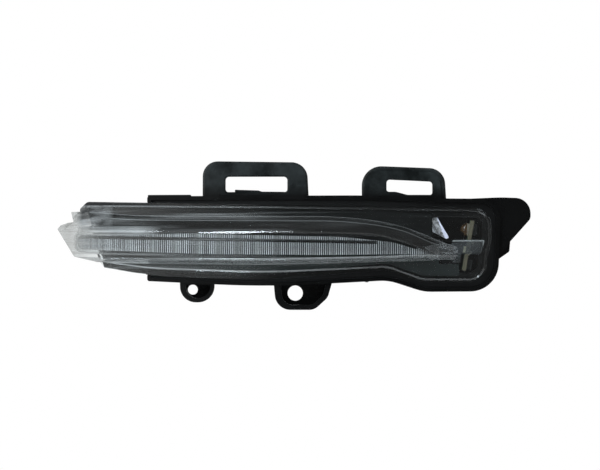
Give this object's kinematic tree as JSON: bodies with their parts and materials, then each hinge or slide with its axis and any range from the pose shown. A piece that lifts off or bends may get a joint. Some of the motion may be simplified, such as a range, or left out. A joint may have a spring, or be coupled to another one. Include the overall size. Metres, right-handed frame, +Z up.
{
  "type": "mirror turn signal light",
  "caption": "Bowed side-mirror turn signal with a clear blade lens over a toothed light guide, a black housing with slotted fixing loops and screw ears.",
  "frame": {"origin": "centre of the main ear's screw hole, on the front face of the ear's floor", "axes": "+X along the lamp towards its inboard end (the black wing), +Z up through the loops, -Y the way the lens faces"},
  "size_m": [0.1991, 0.0497, 0.0622],
  "materials": {
    "rear_housing": "satin moulded black",
    "outer_lens": "clear polished",
    "lens_seal": "matt black bead",
    "light_guide": "clear with prism teeth",
    "inner_bezel": "dark grey moulded",
    "guide_clamp": "translucent grey",
    "clamp_screw": "plated",
    "side_reflector": "metallised",
    "led_board": "glass-fibre laminate",
    "guide_leds": "white package",
    "side_led": "amber dome",
    "dark_packages": "moulded black",
    "filter_capacitor": "ceramic",
    "terminals": "tinned brass",
    "vent_membrane": "porous patch"
  },
  "bodies": {
    "root": {"rear_housing": "rear_housing", "outer_lens": "outer_lens", "lens_seal": "lens_seal", "light_guide": "light_guide", "inner_bezel": "inner_bezel", "guide_clamp": "guide_clamp", "clamp_screw": "clamp_screw", "side_reflector": "side_reflector", "led_board": "led_board", "guide_led_front": "guide_leds", "guide_led_rear": "guide_leds", "side_led": "side_led", "driver_chip": "dark_packages", "protection_diode": "dark_packages", "filter_capacitor": "filter_capacitor", "series_resistor_1": "dark_packages", "series_resistor_2": "dark_packages", "series_resistor_3": "dark_packages", "terminal_lower": "terminals", "terminal_upper": "terminals", "vent_membrane": "vent_membrane"}
  },
  "joints": []
}
